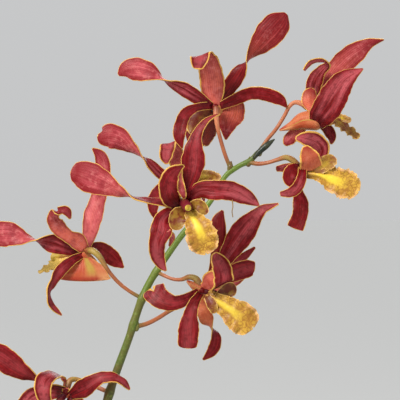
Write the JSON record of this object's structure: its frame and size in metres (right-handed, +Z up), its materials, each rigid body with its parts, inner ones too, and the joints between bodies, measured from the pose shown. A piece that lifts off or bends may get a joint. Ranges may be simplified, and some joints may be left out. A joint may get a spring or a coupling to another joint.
{
  "type": "potted dendrobium orchid",
  "caption": "Orchid in a clay pot of bark: leafy canes, and one arching flower stem with twisted, curled crimson blooms edged in gold, each with a yellow lip.",
  "frame": {"origin": "middle of the underside of the pot, on the surface that it stands on", "axes": "+Z up, +X to the right and +Y away from the viewer, as the flower spray is seen from its front"},
  "size_m": [0.2631, 0.2046, 0.6947],
  "materials": {
    "terracotta": "matte",
    "bark": "matte",
    "cane": "satin",
    "stem": "satin",
    "pedicel": "satin",
    "tepals": "satin",
    "lip": "satin",
    "column": "satin"
  },
  "bodies": {
    "root": {"pot": "terracotta", "potting_medium": "bark", "cane_1": "cane", "cane_2": "cane", "cane_3": "cane", "cane_4": "cane", "flower_stem": "stem", "bloom_1_pedicel": "pedicel", "bloom_1_column": "column", "bloom_1_lip": "lip", "bloom_1_tepals": "tepals", "bloom_2_pedicel": "pedicel", "bloom_2_column": "column", "bloom_2_lip": "lip", "bloom_2_tepals": "tepals", "bloom_3_pedicel": "pedicel", "bloom_3_column": "column", "bloom_3_lip": "lip", "bloom_3_tepals": "tepals", "bloom_4_pedicel": "pedicel", "bloom_4_column": "column", "bloom_4_lip": "lip", "bloom_4_tepals": "tepals", "bloom_5_pedicel": "pedicel", "bloom_5_column": "column", "bloom_5_lip": "lip", "bloom_5_tepals": "tepals", "bloom_6_pedicel": "pedicel", "bloom_6_column": "column", "bloom_6_lip": "lip", "bloom_6_tepals": "tepals", "bloom_7_pedicel": "pedicel", "bloom_7_column": "column", "bloom_7_lip": "lip", "bloom_7_tepals": "tepals", "bloom_8_pedicel": "pedicel", "bloom_8_column": "column", "bloom_8_lip": "lip", "bloom_8_tepals": "tepals", "bloom_9_pedicel": "pedicel", "bloom_9_column": "column", "bloom_9_lip": "lip", "bloom_9_tepals": "tepals", "bloom_10_pedicel": "pedicel", "bloom_10_column": "column", "bloom_10_lip": "lip", "bloom_10_tepals": "tepals"}
  },
  "joints": []
}
